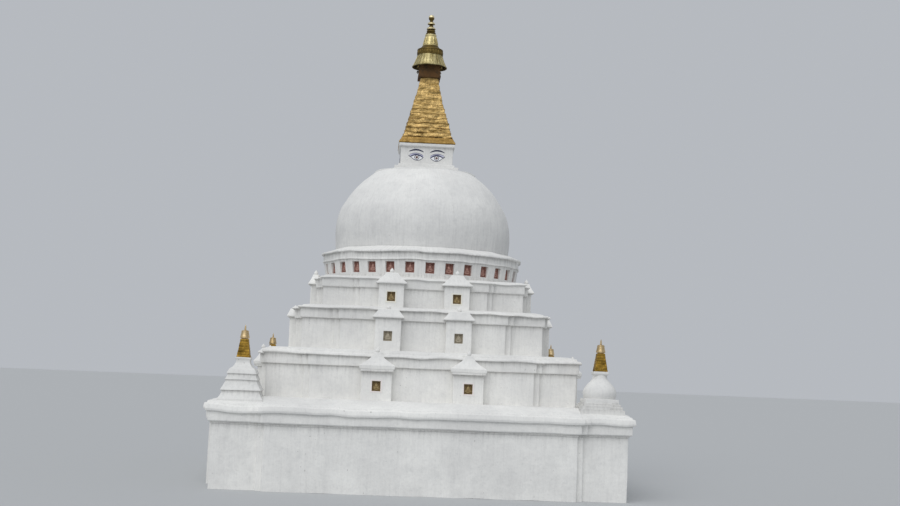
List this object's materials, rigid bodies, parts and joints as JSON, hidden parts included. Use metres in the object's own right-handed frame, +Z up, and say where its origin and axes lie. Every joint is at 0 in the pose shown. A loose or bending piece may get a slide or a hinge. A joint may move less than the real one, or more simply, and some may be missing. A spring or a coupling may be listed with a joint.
{
  "type": "whitewashed stupa with terraces, drum, dome, harmika and gilded spire",
  "caption": "Solid masonry shrine: stepped terraces, round drum with niches, dome, square harmika with painted eyes, gilded tiered spire, parasol and pinnacle.",
  "frame": {"origin": "on the ground at the vertical axis of the stupa, the centre of the underside of its lowest terrace", "axes": "+Z up along the axis of the dome and spire, +X to the right and +Y away for someone who faces the front side, which looks towards -Y"},
  "size_m": [24.5, 24.5, 30.14],
  "materials": {
    "whitewash": "lime wash on plastered rubble masonry, rough, with grey streaks",
    "gilding": "gilded copper sheet, satin, dull in patches",
    "pale_gilding": "pale gilded sheet, satin",
    "copper": "rust brown sheet, matt",
    "bronze": "dark weathered bronze, satin",
    "niche_panel": "reddish brown painted slate, matt",
    "plaque": "golden brown painted relief, matt",
    "eye_paint": "dark blue lime paint, matt"
  },
  "bodies": {
    "root": {"terrace_1_wall": "whitewash", "terrace_1_cornice": "whitewash", "terrace_1_top": "whitewash", "terrace_2_wall": "whitewash", "terrace_2_cornice": "whitewash", "terrace_2_top": "whitewash", "terrace_3_wall": "whitewash", "terrace_3_cornice": "whitewash", "terrace_3_top": "whitewash", "terrace_4_wall": "whitewash", "terrace_4_cornice": "whitewash", "terrace_4_top": "whitewash", "front_left_shrine": "whitewash", "front_right_shrine": "whitewash", "right_front_shrine": "whitewash", "right_back_shrine": "whitewash", "back_right_shrine": "whitewash", "back_left_shrine": "whitewash", "left_back_shrine": "whitewash", "left_front_shrine": "whitewash", "drum_foot": "whitewash", "drum_wall": "whitewash", "drum_cornice": "whitewash", "drum_apron": "whitewash", "dome": "whitewash", "dome_cap": "whitewash", "harmika_plinth": "whitewash", "harmika": "whitewash", "harmika_cornice": "whitewash", "spire_base_plate": "gilding", "spire": "gilding", "spire_neck": "copper", "parasol_skirt": "pale_gilding", "parasol_crown": "bronze", "pinnacle_bell": "gilding", "pinnacle_rings": "gilding", "pinnacle_jewel": "gilding", "front_left_chorten": "whitewash", "front_left_chorten_finial": "gilding", "front_right_chorten": "whitewash", "front_right_chorten_finial": "gilding", "back_right_chorten": "whitewash", "back_right_chorten_finial": "gilding", "back_left_chorten": "whitewash", "back_left_chorten_finial": "gilding"}
  },
  "joints": []
}
